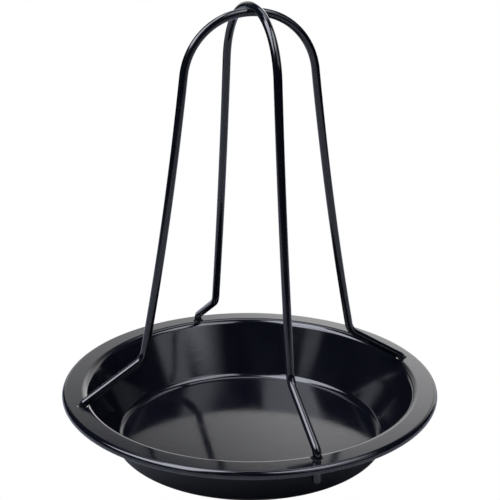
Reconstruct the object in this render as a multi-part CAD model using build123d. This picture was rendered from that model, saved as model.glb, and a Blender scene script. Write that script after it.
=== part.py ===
from build123d import *

import os
from math import cos, degrees, radians, sin, tan

# Upright chicken roaster: a round pressed drip pan and a rack of two wire hoops.
# Millimetres, +Z up. The origin is the centre of the pan's underside, which is what it stands on.
# The two hoops cross at the top, where they are welded, and their four ends stand in holes in the
# pan's rim. The lower hoop lies in the XZ plane and the upper hoop in the YZ plane.

# Drip pan
PAN_RADIUS = 100.0
PAN_HEIGHT = 32.0
SHEET = 0.8
FLOOR_CORNER_RADIUS = 71.5     # where the floor's and the wall's inner faces would meet
RIM_CORNER_RADIUS = 87.3       # where the wall's inner face and the rim's top would meet
FLOOR_BEND = 5.0               # inside radius between floor and wall
RIM_BEND = 4.5                 # radius of the rounded edge between wall and rim
CURL_RADIUS = 2.3              # outside radius of the rolled edge
CURL_TURN = 290.0

# Holes that hold the ends of the wires
HOLE_RADIUS = 2.8
HOLE_CIRCLE = 91.1
HOLE_COUNT = 4

# Wire hoops. Angles are measured below the horizontal.
WIRE = 4.25
CROWN_ANGLE = 13.0
LEG_BOW = 1870.0               # the legs are bowed very slightly outwards
KNEE_BEND = 9.0
SHANK_ANGLE = 32.0
FOOT_BEND = 4.0
FOOT_CIRCLE = 91.5             # distance from the axis to the upright ends
TAIL_DROP = 12.55              # from the pan's rim down to the ends of the wires
TAIL_CHAMFER = 0.5

# Where the hoops differ: the upper one is flatter on top, has wider shoulders and stands higher.
LOWER_CROWN_BEND = 40.0
LOWER_SHOULDER_BEND = 33.4
LOWER_LEG_TOP_ANGLE = 82.9
LOWER_LEG_LENGTH = 143.0
LOWER_FOOT_HEIGHT = 0.45       # corner of the feet above the rim
UPPER_CROWN_BEND = 46.0
UPPER_SHOULDER_BEND = 34.0
UPPER_LEG_TOP_ANGLE = 83.8
UPPER_LEG_LENGTH = 140.7
UPPER_FOOT_HEIGHT = 3.45


def pan_section():
    """Half section of the pan, a bent sheet with its outer edge rolled under."""
    wall_run = RIM_CORNER_RADIUS - FLOOR_CORNER_RADIUS
    wall_rise = PAN_HEIGHT - SHEET
    wall_angle = Vector(wall_run, wall_rise).get_angle(Vector(1, 0))
    corner_shift = SHEET * tan(radians(wall_angle / 2))
    curl_centre = (PAN_RADIUS - CURL_RADIUS, PAN_HEIGHT - CURL_RADIUS)
    curl_end = 90 - CURL_TURN

    inner_face = FilletPolyline(
        (0, SHEET),
        (FLOOR_CORNER_RADIUS, SHEET),
        (RIM_CORNER_RADIUS, PAN_HEIGHT),
        (curl_centre[0], PAN_HEIGHT),
        radius=[FLOOR_BEND, RIM_BEND],
    )
    outer_face = FilletPolyline(
        (0, 0),
        (FLOOR_CORNER_RADIUS + corner_shift, 0),
        (RIM_CORNER_RADIUS + corner_shift, PAN_HEIGHT - SHEET),
        (curl_centre[0], PAN_HEIGHT - SHEET),
        radius=[FLOOR_BEND + SHEET, RIM_BEND - SHEET],
    )
    curl_outside = CenterArc(curl_centre, CURL_RADIUS, 90, -CURL_TURN)
    curl_inside = CenterArc(curl_centre, CURL_RADIUS - SHEET, curl_end, CURL_TURN)
    curl_edge = Line(curl_outside @ 1, curl_inside @ 0)
    axis_edge = Line((0, 0), (0, SHEET))
    return make_face([inner_face, curl_outside, curl_edge, curl_inside, outer_face, axis_edge])


def drip_pan():
    section = Plane.XZ * pan_section()
    pan = revolve(section, Axis.Z, 360)
    hole = Cylinder(HOLE_RADIUS, 4 * SHEET)
    for turn in range(HOLE_COUNT):
        place = Rot(0, 0, turn * 360 / HOLE_COUNT) * Pos(HOLE_CIRCLE, 0, PAN_HEIGHT)
        pan -= place * hole
    return pan


def half_hoop_path(crown_bend, shoulder_bend, leg_top_angle, leg_length, foot_height):
    """One half of a hoop's centre line in the XZ plane, from the apex at the origin down to the tail."""
    crown = JernArc((0, 0), (1, 0), crown_bend, -CROWN_ANGLE)
    shoulder = JernArc(crown @ 1, crown % 1, shoulder_bend, CROWN_ANGLE - leg_top_angle)
    leg_turn = degrees(leg_length / LEG_BOW)
    leg = JernArc(shoulder @ 1, shoulder % 1, LEG_BOW, leg_turn)
    knee = JernArc(leg @ 1, leg % 1, KNEE_BEND, leg_top_angle - leg_turn - SHANK_ANGLE)
    foot_turn = 90 - SHANK_ANGLE
    foot_reach = FOOT_BEND * (1 - sin(radians(SHANK_ANGLE)))
    shank_length = (FOOT_CIRCLE - foot_reach - (knee @ 1).X) / cos(radians(SHANK_ANGLE))
    shank = PolarLine(knee @ 1, shank_length, -SHANK_ANGLE)
    foot = JernArc(shank @ 1, shank % 1, FOOT_BEND, -foot_turn)
    foot_tangent = FOOT_BEND * tan(radians(foot_turn / 2))
    tail_length = foot_height + TAIL_DROP - foot_tangent
    tail = Line(foot @ 1, foot @ 1 - Vector(0, tail_length))
    return [crown, shoulder, leg, knee, shank, foot, tail]


def hoop(half_path):
    """A whole hoop in the XZ plane, with the ends of its wire TAIL_DROP below the pan's rim."""
    half = [Plane.XZ * edge for edge in half_path]
    wire_end = half[-1] @ 1
    section = Plane(wire_end, z_dir=(0, 0, 1)) * Circle(WIRE / 2)
    path = Wire(list(reversed(half)))
    side = sweep(section, path=path)
    side = chamfer(side.faces().sort_by(Axis.Z)[0].edges(), TAIL_CHAMFER)
    both = side + mirror(side, Plane.YZ)
    return Pos(0, 0, PAN_HEIGHT - TAIL_DROP - wire_end.Z) * both


lower_path = half_hoop_path(
    LOWER_CROWN_BEND, LOWER_SHOULDER_BEND, LOWER_LEG_TOP_ANGLE, LOWER_LEG_LENGTH, LOWER_FOOT_HEIGHT
)
upper_path = half_hoop_path(
    UPPER_CROWN_BEND, UPPER_SHOULDER_BEND, UPPER_LEG_TOP_ANGLE, UPPER_LEG_LENGTH, UPPER_FOOT_HEIGHT
)
lower_hoop = hoop(lower_path)
upper_hoop = Rot(0, 0, 90) * hoop(upper_path)
upper_hoop -= lower_hoop

nodes = {
    "drip_pan": drip_pan(),
    "lower_hoop": lower_hoop,
    "upper_hoop": upper_hoop,
}

os.makedirs("parts", exist_ok=True)
for name, shape in nodes.items():
    export_step(shape, f"parts/{name}.step")
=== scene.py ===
from math import atan2, cos, degrees, pi, radians, sin, sqrt, tan

import bmesh
import bpy
from mathutils import Matrix, Quaternion, Vector


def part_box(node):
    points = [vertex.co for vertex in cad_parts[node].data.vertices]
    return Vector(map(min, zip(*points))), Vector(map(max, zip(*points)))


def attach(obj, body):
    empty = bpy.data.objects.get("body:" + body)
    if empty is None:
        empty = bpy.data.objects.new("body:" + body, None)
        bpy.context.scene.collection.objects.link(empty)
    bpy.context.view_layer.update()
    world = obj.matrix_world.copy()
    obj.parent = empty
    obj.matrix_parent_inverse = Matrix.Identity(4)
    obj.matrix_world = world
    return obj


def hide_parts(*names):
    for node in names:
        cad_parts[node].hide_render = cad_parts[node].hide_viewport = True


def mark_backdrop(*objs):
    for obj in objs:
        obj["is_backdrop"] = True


# Upright chicken roaster: a black enamelled drip pan and a rack of two crossed wire hoops.
# Metres, +Z up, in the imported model's frame. The pan and the hoops are built here as fine meshes
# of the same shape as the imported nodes, with the rounded edges that a coating gives them.

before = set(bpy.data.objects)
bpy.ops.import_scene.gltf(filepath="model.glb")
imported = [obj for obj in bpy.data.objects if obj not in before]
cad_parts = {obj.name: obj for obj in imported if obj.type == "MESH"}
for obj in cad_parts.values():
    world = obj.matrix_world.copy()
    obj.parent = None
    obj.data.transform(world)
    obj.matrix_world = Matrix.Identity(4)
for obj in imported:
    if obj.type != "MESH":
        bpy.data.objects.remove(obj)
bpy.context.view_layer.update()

MM = 0.001

pan_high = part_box("drip_pan")[1]
lower_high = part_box("lower_hoop")[1]
upper_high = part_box("upper_hoop")[1]

# Drip pan
PAN_RADIUS = 100 * MM
PAN_HEIGHT = pan_high.z
SHEET = 0.8 * MM
FLOOR_CORNER_RADIUS = 71.5 * MM
RIM_CORNER_RADIUS = 87.3 * MM
FLOOR_BEND = 5 * MM
RIM_BEND = 4.5 * MM
CURL_RADIUS = 2.3 * MM
CURL_TURN = 290
CURL_STEP = 10                  # degrees between two points of the rolled edge
CUT_STEP = 30                   # the same on the rounded cut at the roll's end
PAN_SEGMENTS = 360

# Rim holes
HOLE_RADIUS = 2.8 * MM
HOLE_CIRCLE = 91.1 * MM
HOLE_COUNT = 4
HOLE_ROUNDING = 0.12 * MM
HOLE_STEP = 15                  # degrees between two points of a hole's rounded edge
HOLE_SEGMENTS = 64

# Wire hoops
WIRE_RADIUS = upper_high.x
WIRE_SIDES = 40
CROWN_ANGLE = 13
LEG_BOW = 1870 * MM
KNEE_BEND = 9 * MM
SHANK_ANGLE = 32
FOOT_BEND = 4 * MM
FOOT_CIRCLE = 91.5 * MM
TAIL_DROP = 12.55 * MM
TAIL_ROUNDING = 0.5 * MM
TAIL_RINGS = (30, 60, 85)       # degrees round the rounded edge of a wire's end
LEG_STEPS = 24
BEND_STEP = 3                   # degrees of bend between two rings of the wire's mesh
LOWER_HOOP = {
    "crown_bend": 40 * MM,
    "shoulder_bend": 33.4 * MM,
    "leg_top_angle": 82.9,
    "leg_length": 143.0 * MM,
    "foot_height": 0.45 * MM,
}
UPPER_HOOP = {
    "crown_bend": 46 * MM,
    "shoulder_bend": 34 * MM,
    "leg_top_angle": 83.8,
    "leg_length": 140.7 * MM,
    "foot_height": 3.45 * MM,
}
WELD_BEAD = 0.4 * MM            # radius of the coating's fillet round the weld
WELD_STEPS = 24                 # rings of the fillet in each quarter


# ---------------------------------------------------------------- shapes


def arc_points(centre, radius, start, turn, step):
    """Points of an arc in a plane, from start degrees through turn degrees, about step degrees apart."""
    count = max(1, round(abs(turn) / step))
    angles = [radians(start + turn * i / count) for i in range(count + 1)]
    return [Vector((centre[0] + radius * cos(a), centre[1] + radius * sin(a))) for a in angles]


def rounded(corners, radii, step=3):
    """An open polyline in a plane with its inner corners rounded."""
    points = [Vector(corners[0])]
    for before, corner, after, radius in zip(corners, corners[1:], corners[2:], radii):
        into = (Vector(before) - Vector(corner)).normalized()
        out = (Vector(after) - Vector(corner)).normalized()
        half = into.angle(out) / 2
        centre = Vector(corner) + (into + out).normalized() * (radius / sin(half))
        first = Vector(corner) + into * (radius / tan(half)) - centre
        last = Vector(corner) + out * (radius / tan(half)) - centre
        start = degrees(atan2(first.y, first.x))
        turn = (degrees(atan2(last.y, last.x)) - start + 180) % 360 - 180
        points += arc_points(centre, radius, start, turn, step)
    return points + [Vector(corners[-1])]


def object_from(name, edit_mesh):
    """A smooth-shaded object from a bmesh, which is freed."""
    mesh_data = bpy.data.meshes.new(name)
    edit_mesh.to_mesh(mesh_data)
    edit_mesh.free()
    mesh_data.shade_smooth()
    piece = bpy.data.objects.new(name, mesh_data)
    bpy.context.scene.collection.objects.link(piece)
    return piece


def turned(name, profile, segments, closed=True):
    """A solid of revolution about Z, from a list of (radius, height). Points on the axis are poles."""
    made = bmesh.new()
    rings = []
    for radius, height in profile:
        if radius < 1e-9:
            rings.append([made.verts.new((0, 0, height))])
            continue
        turns = [2 * pi * i / segments for i in range(segments)]
        rings.append([made.verts.new((radius * cos(t), radius * sin(t), height)) for t in turns])
    pairs = list(zip(rings, rings[1:]))
    if closed:
        pairs.append((rings[-1], rings[0]))
    for one, other in pairs:
        if len(one) == 1 and len(other) == 1:
            continue
        for i in range(segments):
            j = (i + 1) % segments
            if len(one) == 1:
                made.faces.new((one[0], other[i], other[j]))
            elif len(other) == 1:
                made.faces.new((one[i], one[j], other[0]))
            else:
                made.faces.new((one[i], one[j], other[j], other[i]))
    bmesh.ops.recalc_face_normals(made, faces=made.faces)
    return object_from(name, made)


def pan_profile():
    """The pan's closed half section: inner face, rolled edge, cut edge of the roll and outer face."""
    run = RIM_CORNER_RADIUS - FLOOR_CORNER_RADIUS
    shift = SHEET * tan(atan2(PAN_HEIGHT - SHEET, run) / 2)
    curl_centre = (PAN_RADIUS - CURL_RADIUS, PAN_HEIGHT - CURL_RADIUS)
    inner = rounded(
        [
            (0, SHEET),
            (FLOOR_CORNER_RADIUS, SHEET),
            (RIM_CORNER_RADIUS, PAN_HEIGHT),
            (curl_centre[0], PAN_HEIGHT),
        ],
        [FLOOR_BEND, RIM_BEND],
    )
    outer = rounded(
        [
            (0, 0),
            (FLOOR_CORNER_RADIUS + shift, 0),
            (RIM_CORNER_RADIUS + shift, PAN_HEIGHT - SHEET),
            (curl_centre[0], PAN_HEIGHT - SHEET),
        ],
        [FLOOR_BEND + SHEET, RIM_BEND - SHEET],
    )
    curl_end = 90 - CURL_TURN
    curl_outside = arc_points(curl_centre, CURL_RADIUS, 90, -CURL_TURN, CURL_STEP)
    curl_inside = arc_points(curl_centre, CURL_RADIUS - SHEET, curl_end, CURL_TURN, CURL_STEP)
    middle = arc_points(curl_centre, CURL_RADIUS - SHEET / 2, curl_end, 1, 1)[0]
    cut_edge = arc_points(middle, SHEET / 2, curl_end, -180, CUT_STEP)
    return inner + curl_outside[1:] + cut_edge[1:-1] + curl_inside[:-1] + list(reversed(outer))


def hole_cutter(name, place):
    """A cutter for one rim hole, flared at both faces of the sheet so that the hole's edges are rounded."""
    top = PAN_HEIGHT
    bottom = PAN_HEIGHT - SHEET
    wide = HOLE_RADIUS + HOLE_ROUNDING
    upper = arc_points((wide, top - HOLE_ROUNDING), HOLE_ROUNDING, 180, -90, HOLE_STEP)
    lower = arc_points((wide, bottom + HOLE_ROUNDING), HOLE_ROUNDING, 270, -90, HOLE_STEP)
    side = [(p.x, p.y) for p in lower + upper]
    profile = [(0, bottom - SHEET), (wide, bottom - SHEET)] + side + [(wide, top + SHEET), (0, top + SHEET)]
    cutter = turned(name, profile, HOLE_SEGMENTS, closed=False)
    cutter.data.transform(Matrix.Translation(place))
    return cutter


def apply_modifiers(piece):
    """Replaces the piece's mesh by its evaluated one and drops its modifiers."""
    graph = bpy.context.evaluated_depsgraph_get()
    finished = bpy.data.meshes.new_from_object(piece.evaluated_get(graph))
    piece.modifiers.clear()
    piece.data = finished


def make_pan():
    pan = turned("drip_pan_shell", pan_profile(), PAN_SEGMENTS)
    cutters = []
    for i in range(HOLE_COUNT):
        turn = 2 * pi * i / HOLE_COUNT
        place = Vector((HOLE_CIRCLE * cos(turn), HOLE_CIRCLE * sin(turn), 0))
        cutter = hole_cutter(f"hole_cutter_{i}", place)
        cut = pan.modifiers.new(cutter.name, "BOOLEAN")
        cut.operation = "DIFFERENCE"
        cut.solver = "EXACT"
        cut.object = cutter
        cutters.append(cutter)
    apply_modifiers(pan)
    for cutter in cutters:
        bpy.data.objects.remove(cutter)
    pan.data.shade_smooth()
    pan.modifiers.new("flat faces stay flat", "WEIGHTED_NORMAL").keep_sharp = False
    return pan


def half_hoop(crown_bend, shoulder_bend, leg_top_angle, leg_length, foot_height):
    """Half a hoop's centre line from its apex at (0, 0) to its tail, as (point, heading below level)."""
    stations = [(Vector((0, 0)), 0.0)]

    def bend(radius, turn):
        count = max(1, round(abs(turn) / BEND_STEP))
        for _ in range(count):
            point, heading = stations[-1]
            middle = radians(heading + turn / count / 2)
            chord = 2 * radius * sin(radians(abs(turn) / count / 2))
            step = Vector((chord * cos(middle), -chord * sin(middle)))
            stations.append((point + step, heading + turn / count))

    def run(length):
        point, heading = stations[-1]
        way = Vector((cos(radians(heading)), -sin(radians(heading))))
        stations.append((point + way * length, heading))

    bend(crown_bend, CROWN_ANGLE)
    bend(shoulder_bend, leg_top_angle - CROWN_ANGLE)
    leg_turn = degrees(leg_length / LEG_BOW)
    for _ in range(LEG_STEPS):
        bend(LEG_BOW, -leg_turn / LEG_STEPS)
    bend(KNEE_BEND, SHANK_ANGLE - leg_top_angle + leg_turn)
    foot_reach = FOOT_BEND * (1 - sin(radians(SHANK_ANGLE)))
    run((FOOT_CIRCLE - foot_reach - stations[-1][0].x) / cos(radians(SHANK_ANGLE)))
    bend(FOOT_BEND, 90 - SHANK_ANGLE)
    foot_tangent = FOOT_BEND * tan(radians((90 - SHANK_ANGLE) / 2))
    run(foot_height + TAIL_DROP - foot_tangent - TAIL_ROUNDING)
    return stations


def tube(name, stations, radii, closed=False):
    """A round tube through stations, each a (point, side, up) with side and up spanning its section."""
    made = bmesh.new()
    rings = []
    for (point, side, up), radius in zip(stations, radii):
        turns = [2 * pi * i / WIRE_SIDES for i in range(WIRE_SIDES)]
        rings.append([made.verts.new(point + (side * cos(t) + up * sin(t)) * radius) for t in turns])
    pairs = list(zip(rings, rings[1:])) + ([(rings[-1], rings[0])] if closed else [])
    for one, other in pairs:
        for i in range(WIRE_SIDES):
            j = (i + 1) % WIRE_SIDES
            made.faces.new((one[i], one[j], other[j], other[i]))
    if not closed:
        made.faces.new(rings[0])
        made.faces.new(rings[-1])
    bmesh.ops.recalc_face_normals(made, faces=made.faces)
    return object_from(name, made)


def make_hoop(name, node, turn, shape):
    """A whole hoop in the plane turned by turn degrees from XZ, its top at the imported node's top."""
    half = half_hoop(**shape)
    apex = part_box(node)[1].z - WIRE_RADIUS
    ahead = Matrix.Rotation(radians(turn), 3, "Z") @ Vector((1, 0, 0))
    across = Matrix.Rotation(radians(turn), 3, "Z") @ Vector((0, 1, 0))
    up = Vector((0, 0, 1))

    def station(point, heading, sign):
        level = radians(heading) * sign
        middle = ahead * (point.x * sign) + up * (apex + point.y)
        return middle, across, ahead * sin(level) + up * cos(level)

    left = [station(point, heading, -1) for point, heading in reversed(half[1:])]
    right = [station(point, heading, 1) for point, heading in half]
    stations = left + right
    radii = [WIRE_RADIUS] * len(stations)
    for angle in TAIL_RINGS:
        tail = half[-1][0] - Vector((0, TAIL_ROUNDING * sin(radians(angle))))
        radius = WIRE_RADIUS - TAIL_ROUNDING * (1 - cos(radians(angle)))
        stations = [station(tail, 90, -1)] + stations + [station(tail, 90, 1)]
        radii = [radius] + radii + [radius]
    return tube(name, stations, radii)


def make_weld():
    """The fillet of coating that follows the line where the two hoops meet."""
    lower_centre = lower_high.z - WIRE_RADIUS
    gap = upper_high.z - lower_high.z
    line = []
    for quadrant in range(4):
        for i in range(WELD_STEPS):
            share = i / WELD_STEPS if quadrant % 2 == 0 else 1 - i / WELD_STEPS
            # the meeting line rises from the lower hoop's sides to its top
            height = (gap - WIRE_RADIUS) + (2 * WIRE_RADIUS - gap) * (1 - cos(pi * share)) / 2
            along_lower = sqrt(max(0, WIRE_RADIUS**2 - (gap - height) ** 2))
            across_lower = sqrt(max(0, WIRE_RADIUS**2 - height**2))
            sign_x = 1 if quadrant in (0, 1) else -1
            sign_y = 1 if quadrant in (0, 3) else -1
            line.append(Vector((sign_x * along_lower, sign_y * across_lower, lower_centre + height)))
    stations = []
    for i, point in enumerate(line):
        ahead = (line[(i + 1) % len(line)] - line[i - 1]).normalized()
        out = Vector((point.x, point.y, 0)).normalized()
        side = (out - ahead * out.dot(ahead)).normalized()
        stations.append((point, side, ahead.cross(side)))
    return tube("weld_fillet", stations, [WELD_BEAD] * len(stations), closed=True)


# ---------------------------------------------------------------- materials


class Shading:
    """A material's node tree, with short ways to add the nodes that the enamels share."""

    def __init__(self, name):
        self.material = bpy.data.materials.new(name)
        self.material.use_nodes = True
        self.tree = self.material.node_tree
        self.shader = self.tree.nodes["Principled BSDF"]
        self.place = self.tree.nodes.new("ShaderNodeTexCoord").outputs["Object"]

    def link(self, source, socket):
        """Feeds a socket with another node's output, or sets it to a plain value."""
        if isinstance(source, bpy.types.NodeSocket):
            self.tree.links.new(source, socket)
        else:
            socket.default_value = source

    def maths(self, operation, *values):
        node = self.tree.nodes.new("ShaderNodeMath")
        node.operation = operation
        for value, socket in zip(values, node.inputs):
            self.link(value, socket)
        return node.outputs["Value"]

    def noise(self, size, detail=2.0, stretch=(1, 1, 1)):
        """Noise whose blotches are about size metres wide."""
        mapping = self.tree.nodes.new("ShaderNodeMapping")
        mapping.inputs["Scale"].default_value = stretch
        self.tree.links.new(self.place, mapping.inputs["Vector"])
        node = self.tree.nodes.new("ShaderNodeTexNoise")
        node.inputs["Scale"].default_value = 1 / size
        node.inputs["Detail"].default_value = detail
        self.tree.links.new(mapping.outputs["Vector"], node.inputs["Vector"])
        return node.outputs["Fac"]

    def patches(self, size, start, end, detail=2.0, stretch=(1, 1, 1)):
        """Patches about size metres wide: 0 where the noise is under start and 1 where it is over end."""
        return self.ramp(self.noise(size, detail, stretch), start, end)

    def axes(self):
        """The place's x, y and z."""
        node = self.tree.nodes.new("ShaderNodeSeparateXYZ")
        self.link(self.place, node.inputs["Vector"])
        return node.outputs["X"], node.outputs["Y"], node.outputs["Z"]

    def hypotenuse(self, x, y):
        squares = self.maths("ADD", self.maths("MULTIPLY", x, x), self.maths("MULTIPLY", y, y))
        return self.maths("SQRT", squares)

    def distance_from(self, point):
        """How far the place is from a point of the object's own space."""
        node = self.tree.nodes.new("ShaderNodeVectorMath")
        node.operation = "DISTANCE"
        self.link(self.place, node.inputs[0])
        self.link(point, node.inputs[1])
        return node.outputs["Value"]

    def ramp(self, value, start, end, low=0.0, high=1.0):
        """A smooth step from low to high while the value goes from start to end."""
        node = self.tree.nodes.new("ShaderNodeMapRange")
        node.interpolation_type = "SMOOTHSTEP"
        self.link(value, node.inputs["Value"])
        self.link(start, node.inputs["From Min"])
        self.link(end, node.inputs["From Max"])
        self.link(low, node.inputs["To Min"])
        self.link(high, node.inputs["To Max"])
        return node.outputs["Result"]

    def blend(self, share, one, other):
        """A mix of two colours."""
        node = self.tree.nodes.new("ShaderNodeMix")
        node.data_type = "RGBA"
        self.link(share, node.inputs["Factor"])
        self.link(one, node.inputs["A"])
        self.link(other, node.inputs["B"])
        return node.outputs["Result"]

    def bump(self, height, depth, under=None):
        """Raises the surface by up to depth metres, on top of an earlier bump."""
        node = self.tree.nodes.new("ShaderNodeBump")
        node.inputs["Distance"].default_value = depth
        self.link(height, node.inputs["Height"])
        if under is not None:
            self.link(under, node.inputs["Normal"])
        return node.outputs["Normal"]


DEEP_ENAMEL = (0.0018, 0.0020, 0.0036, 1)
PALE_ENAMEL = (0.0032, 0.0035, 0.0056, 1)
THIN_ENAMEL = (0.012, 0.0115, 0.011, 1)
RUBBED_STEEL = (0.10, 0.095, 0.09, 1)

ENAMEL_IOR = 1.5
ENAMEL_ROUGHNESS = 0.09
CLOUD_ROUGHNESS = 0.03          # what each of these adds to the roughness
STREAK_ROUGHNESS = 0.03
THIN_ROUGHNESS = 0.35
RUBBED_ROUGHNESS = 0.2
PEEL_SIZE = 3.5 * MM            # width of the orange peel's bumps
GRAIN_SIZE = 0.35 * MM
PAN_PEEL = 0.012 * MM           # depth of the bumps
PAN_GRAIN = 0.0006 * MM
WIRE_PEEL = 0.003 * MM
WIRE_GRAIN = 0.0002 * MM

HOLE_THIN_START = 0.1 * MM      # outside a hole's edge, the coat is thinnest up to here
HOLE_THIN_END = 0.7 * MM        # and has its full thickness from here on
ROLL_THIN_WIDTH = 0.5 * MM      # how far in from the pan's outermost edge the coat is thinner
RUB_BELOW_START = 4 * MM        # rubbing on the wires starts this far below the rim's top
RUB_BELOW_FULL = 1 * MM         # and is strongest from here up to the rim's top
RUB_ABOVE = 1.5 * MM            # and ends this far above it
WELD_THIN_REACH = 3.5 * WIRE_RADIUS
ROLL_THIN_SHARE = 0.5           # how strong each of these gets, out of 1
WELD_THIN_SHARE = 0.5
SCRATCH_SHARE = 0.5


def finish_enamel(shading, thin, rubbed, peel_depth, grain_depth):
    """Gloss black enamel. thin is 1 where the coat has drawn away from an edge, rubbed is 1 where worn."""
    cloud = shading.patches(size=28 * MM, start=0.35, end=0.7)
    streak = shading.patches(size=9 * MM, start=0.45, end=0.75, stretch=(1, 1, 0.25))
    colour = shading.blend(cloud, DEEP_ENAMEL, PALE_ENAMEL)
    colour = shading.blend(thin, colour, THIN_ENAMEL)
    colour = shading.blend(rubbed, colour, RUBBED_STEEL)
    shading.link(colour, shading.shader.inputs["Base Color"])

    roughness = shading.maths("MULTIPLY_ADD", cloud, CLOUD_ROUGHNESS, ENAMEL_ROUGHNESS)
    roughness = shading.maths("MULTIPLY_ADD", streak, STREAK_ROUGHNESS, roughness)
    roughness = shading.maths("MULTIPLY_ADD", thin, THIN_ROUGHNESS, roughness)
    roughness = shading.maths("MULTIPLY_ADD", rubbed, RUBBED_ROUGHNESS, roughness)
    shading.link(roughness, shading.shader.inputs["Roughness"])
    shading.shader.inputs["IOR"].default_value = ENAMEL_IOR

    peel = shading.bump(shading.noise(PEEL_SIZE, detail=1.0), peel_depth)
    grain = shading.bump(shading.noise(GRAIN_SIZE, detail=2.0), grain_depth, peel)
    shading.link(grain, shading.shader.inputs["Normal"])
    return shading.material


def pan_enamel():
    """The pan's coat: thin at the holes and on the outside of the roll, and scratched at the holes."""
    shading = Shading("pan_enamel")
    x, y, _ = shading.axes()
    wide_x = shading.maths("ABSOLUTE", x)
    wide_y = shading.maths("ABSOLUTE", y)
    # the four holes lie on the axes, so the nearest one is along the longer of x and y
    far = shading.maths("MAXIMUM", wide_x, wide_y)
    near = shading.maths("MINIMUM", wide_x, wide_y)
    from_hole = shading.hypotenuse(shading.maths("SUBTRACT", far, HOLE_CIRCLE), near)
    hole_edge = shading.ramp(from_hole, HOLE_RADIUS + HOLE_THIN_START, HOLE_RADIUS + HOLE_THIN_END, 1.0, 0.0)
    from_axis = shading.hypotenuse(x, y)
    roll_edge = shading.ramp(from_axis, PAN_RADIUS - ROLL_THIN_WIDTH, PAN_RADIUS, 0.0, ROLL_THIN_SHARE)
    break_up = shading.patches(size=6 * MM, start=0.45, end=0.65, detail=4.0)
    thin = shading.maths("MAXIMUM", hole_edge, shading.maths("MULTIPLY", roll_edge, break_up))
    scratch = shading.patches(size=0.8 * MM, start=0.56, end=0.62, detail=3.0, stretch=(1, 1, 0.2))
    rubbed = shading.maths("MULTIPLY", scratch, shading.maths("MULTIPLY", hole_edge, SCRATCH_SHARE))
    return finish_enamel(shading, thin, rubbed, PAN_PEEL, PAN_GRAIN)


def wire_enamel():
    """The wires' coat, rubbed where the feet stand in the holes and thin over the weld."""
    shading = Shading("wire_enamel")
    height = shading.axes()[2]
    over_start = shading.ramp(height, PAN_HEIGHT - RUB_BELOW_START, PAN_HEIGHT - RUB_BELOW_FULL)
    under_end = shading.ramp(height, PAN_HEIGHT, PAN_HEIGHT + RUB_ABOVE, 1.0, 0.0)
    in_hole = shading.maths("MULTIPLY", over_start, under_end)
    scratch = shading.patches(size=0.9 * MM, start=0.55, end=0.62, detail=3.0)
    rubbed = shading.maths("MULTIPLY", scratch, shading.maths("MULTIPLY", in_hole, SCRATCH_SHARE))
    from_weld = shading.distance_from(Vector((0, 0, lower_high.z)))
    weld_zone = shading.ramp(from_weld, WIRE_RADIUS, WELD_THIN_REACH, WELD_THIN_SHARE, 0.0)
    break_up = shading.patches(size=1.5 * MM, start=0.4, end=0.6, detail=3.0)
    thin = shading.maths("MULTIPLY", weld_zone, break_up)
    return finish_enamel(shading, thin, rubbed, WIRE_PEEL, WIRE_GRAIN)


def coat(piece, material):
    """Gives a piece one material all over."""
    piece.data.materials.clear()
    piece.data.materials.append(material)
    return piece


# ---------------------------------------------------------------- the object

pan = coat(make_pan(), pan_enamel())
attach(pan, "pan")
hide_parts("drip_pan")

wire_coat = wire_enamel()
lower_hoop = coat(make_hoop("lower_wire_hoop", "lower_hoop", 0, LOWER_HOOP), wire_coat)
upper_hoop = coat(make_hoop("upper_wire_hoop", "upper_hoop", 90, UPPER_HOOP), wire_coat)
weld = coat(make_weld(), wire_coat)
for piece in (lower_hoop, upper_hoop, weld):
    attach(piece, "rack")
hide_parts("lower_hoop")
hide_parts("upper_hoop")


# ---------------------------------------------------------------- camera

CAMERA_AZIMUTH = -20.2
CAMERA_DISTANCE = 561.7 * MM    # level distance from the pan's axis
CAMERA_HEIGHT = PAN_HEIGHT + 261 * MM
TARGET_SIDE = -0.1 * MM
TARGET_HEIGHT = PAN_HEIGHT + 73.8 * MM
CAMERA_ROLL = 0.2
SENSOR = 36.0
LENS = 82.27
CLIP_START = 0.01
CLIP_END = 100.0


def make_camera():
    data = bpy.data.cameras.new("camera")
    data.sensor_width = SENSOR
    data.lens = LENS
    data.clip_start = CLIP_START
    data.clip_end = CLIP_END
    camera = bpy.data.objects.new("camera", data)
    bpy.context.scene.collection.objects.link(camera)
    azimuth = radians(CAMERA_AZIMUTH)
    back = Vector((sin(azimuth), -cos(azimuth), 0))
    right = Vector((cos(azimuth), sin(azimuth), 0))
    camera.location = back * CAMERA_DISTANCE + Vector((0, 0, CAMERA_HEIGHT))
    target = right * TARGET_SIDE + Vector((0, 0, TARGET_HEIGHT))
    look = (target - camera.location).to_track_quat("-Z", "Y")
    camera.rotation_mode = "QUATERNION"
    camera.rotation_quaternion = look @ Quaternion((0, 0, 1), radians(CAMERA_ROLL))
    bpy.context.scene.camera = camera
    return camera


make_camera()


# ---------------------------------------------------------------- studio
# Directions in the studio are azimuths from straight behind the object as the camera sees it,
# positive to the right, and elevations above the table, in degrees.
# The panels' places, brightness and colours are set for the reflections they make in the
# enamel. Where panels overlap, their light adds up.

FLOOR_HALF_WIDTH = 8.0
TABLE_RADIUS = 1.1
TABLE_FADE_START = 0.75         # share of the table's radius where it starts to darken
TABLE_NEAR = (0.32, 0.33, 0.36, 1)
TABLE_FAR = (0.01, 0.01, 0.01, 1)
TABLE_GAP = 0.05 * MM           # the table lies a hair below the pan, so that the two faces don't flicker
ROOM_LIGHT = (0.010, 0.013, 0.024, 1)
STUDIO_RADIUS = 3.0
PANEL_SPACING = 0.05            # each panel stands this much further out than the one before it
PANEL_STEP = 2                  # degrees between two rows or columns of a light panel's mesh
LIGHT_CENTRE = Vector((0, 0, PAN_HEIGHT))

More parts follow.
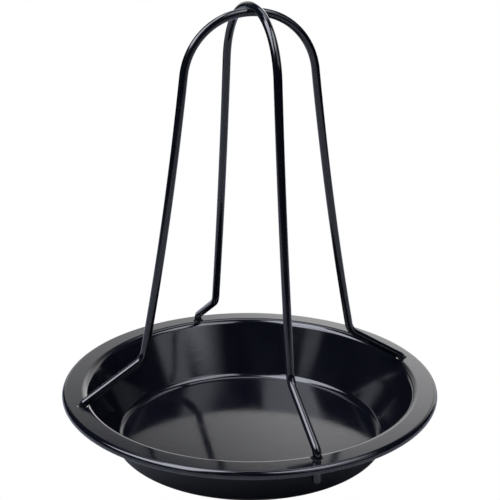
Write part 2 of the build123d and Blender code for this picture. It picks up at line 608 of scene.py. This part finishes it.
NEUTRAL = (1.0, 1.0, 1.0)
COOL = (0.94, 0.97, 1.09)

PANELS = [
    {
        "name": "back_softbox",
        "azimuths": (-9.5, 20),
        "elevations": (-2, 38),
        "brightness": 2.15,
        "colour": NEUTRAL,
        "side_fades": (14, 5),
        "height_fades": (3, 17),
    },
    {
        "name": "back_left_softbox",
        "azimuths": (-32, 1),
        "elevations": (-2, 33),
        "brightness": 0.95,
        "colour": NEUTRAL,
        "side_fades": (4, 9),
        "height_fades": (3, 11),
    },
    {
        "name": "back_right_softbox",
        "azimuths": (15, 46),
        "elevations": (-2, 44),
        "brightness": 1.45,
        "colour": NEUTRAL,
        "side_fades": (5, 4),
        "height_fades": (3, 26),
    },
    {
        "name": "top_softbox",
        "azimuths": (-34, 34),
        "elevations": (46, 76),
        "brightness": 2.2,
        "colour": COOL,
        "side_fades": (5, 5),
        "height_fades": (5, 5),
    },
    {
        "name": "left_softbox",
        "azimuths": (-150, -74),
        "elevations": (30.5, 66),
        "brightness": 9,
        "colour": COOL,
        "side_fades": (8, 8),
        "height_fades": (8, 2),
    },
    {
        "name": "left_overhead_softbox",
        "azimuths": (-150, -35),
        "elevations": (64, 86),
        "brightness": 9,
        "colour": COOL,
        "side_fades": (8, 8),
        "height_fades": (2, 4),
    },
    {
        "name": "left_strip",
        "azimuths": (-138, -119),
        "elevations": (24, 30),
        "brightness": 1.0,
        "colour": COOL,
        "side_fades": (6, 6),
        "height_fades": (2, 2),
    },
    {
        "name": "right_side_softbox",
        "azimuths": (100, 130),
        "elevations": (17.5, 62),
        "brightness": 1.35,
        "colour": COOL,
        "side_fades": (5, 10),
        "height_fades": (4, 5),
    },
    {
        "name": "right_softbox",
        "azimuths": (116, 160),
        "elevations": (24.5, 62),
        "brightness": 2.5,
        "colour": COOL,
        "side_fades": (14, 26),
        "height_fades": (5, 5),
    },
    {
        "name": "right_overhead_softbox",
        "azimuths": (70, 166),
        "elevations": (46, 78),
        "brightness": 5.5,
        "colour": COOL,
        "side_fades": (8, 8),
        "height_fades": (8, 6),
    },
]


def studio_direction(azimuth, elevation):
    turn = radians(CAMERA_AZIMUTH)
    right = Vector((cos(turn), sin(turn), 0))
    away = Vector((-sin(turn), cos(turn), 0))
    level = right * sin(radians(azimuth)) + away * cos(radians(azimuth))
    return level * cos(radians(elevation)) + Vector((0, 0, sin(radians(elevation))))


def smooth(share):
    """A smooth step from 0 to 1."""
    share = min(1, max(0, share))
    return share * share * (3 - 2 * share)


def fading(value, span, fades):
    """A panel's brightness at value: it fades in and out over fades degrees at the ends of its span."""
    return smooth((value - span[0]) / fades[0]) * smooth((span[1] - value) / fades[1])


def emission_material(name):
    """Light by the mesh's brightness, see-through so that panels behind each other add up."""
    material = bpy.data.materials.new(name)
    material.use_nodes = True
    tree = material.node_tree
    tree.nodes.clear()
    shade = tree.nodes.new("ShaderNodeVertexColor")
    shade.layer_name = "brightness"
    emission = tree.nodes.new("ShaderNodeEmission")
    clear = tree.nodes.new("ShaderNodeBsdfTransparent")
    both = tree.nodes.new("ShaderNodeAddShader")
    output = tree.nodes.new("ShaderNodeOutputMaterial")
    tree.links.new(shade.outputs["Color"], emission.inputs["Color"])
    tree.links.new(emission.outputs["Emission"], both.inputs[0])
    tree.links.new(clear.outputs["BSDF"], both.inputs[1])
    tree.links.new(both.outputs[0], output.inputs["Surface"])
    return material


def softbox(name, distance, azimuths, elevations, brightness, colour, side_fades, height_fades):
    """A curved light panel round the object, with soft edges that fade over so many degrees."""
    columns = round((azimuths[1] - azimuths[0]) / PANEL_STEP)
    rows = round((elevations[1] - elevations[0]) / PANEL_STEP)
    made = bmesh.new()
    shade = made.verts.layers.float_color.new("brightness")
    grid = []
    for i in range(rows + 1):
        elevation = elevations[0] + (elevations[1] - elevations[0]) * i / rows
        line = []
        for j in range(columns + 1):
            azimuth = azimuths[0] + (azimuths[1] - azimuths[0]) * j / columns
            vertex = made.verts.new(LIGHT_CENTRE + studio_direction(azimuth, elevation) * distance)
            fade = fading(azimuth, azimuths, side_fades) * fading(elevation, elevations, height_fades)
            vertex[shade] = [brightness * fade * part for part in colour] + [1]
            line.append(vertex)
        grid.append(line)
    for lower, upper in zip(grid, grid[1:]):
        for j in range(columns):
            made.faces.new((lower[j], lower[j + 1], upper[j + 1], upper[j]))
    panel = object_from(name, made)
    panel.data.materials.append(emission_material(name))
    panel.visible_camera = False
    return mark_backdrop(panel)


def make_floor():
    """The table: plain white to the camera, but in reflections mid grey, and nearly black far away."""
    made = bmesh.new()
    bmesh.ops.create_grid(made, x_segments=1, y_segments=1, size=FLOOR_HALF_WIDTH)
    floor = object_from("studio_floor", made)
    floor.location.z = -TABLE_GAP
    shading = Shading("studio_floor")
    tree = shading.tree
    tree.nodes.remove(shading.shader)
    paper = tree.nodes.new("ShaderNodeBsdfDiffuse")
    away = shading.distance_from(Vector((0, 0, 0)))
    beyond = shading.ramp(away, TABLE_FADE_START * TABLE_RADIUS, TABLE_RADIUS)
    tree.links.new(shading.blend(beyond, TABLE_NEAR, TABLE_FAR), paper.inputs["Color"])
    white = tree.nodes.new("ShaderNodeEmission")
    seen = tree.nodes.new("ShaderNodeLightPath").outputs["Is Camera Ray"]
    mix = tree.nodes.new("ShaderNodeMixShader")
    tree.links.new(seen, mix.inputs[0])
    tree.links.new(paper.outputs[0], mix.inputs[1])
    tree.links.new(white.outputs[0], mix.inputs[2])
    tree.links.new(mix.outputs[0], tree.nodes["Material Output"].inputs["Surface"])
    floor.data.materials.append(shading.material)
    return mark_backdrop(floor)


def make_world():
    """The surroundings: white to the camera, and nearly black in reflections."""
    world = bpy.data.worlds.new("studio")
    bpy.context.scene.world = world
    world.use_nodes = True
    tree = world.node_tree
    tree.nodes.clear()
    dim = tree.nodes.new("ShaderNodeBackground")
    dim.inputs["Color"].default_value = ROOM_LIGHT
    white = tree.nodes.new("ShaderNodeBackground")
    seen = tree.nodes.new("ShaderNodeLightPath").outputs["Is Camera Ray"]
    mix = tree.nodes.new("ShaderNodeMixShader")
    tree.links.new(seen, mix.inputs[0])
    tree.links.new(dim.outputs[0], mix.inputs[1])
    tree.links.new(white.outputs[0], mix.inputs[2])
    output = tree.nodes.new("ShaderNodeOutputWorld")
    tree.links.new(mix.outputs[0], output.inputs["Surface"])


make_floor()
make_world()
for number, panel in enumerate(PANELS):
    softbox(distance=STUDIO_RADIUS + number * PANEL_SPACING, **panel)
bpy.context.scene.view_settings.view_transform = "Standard"
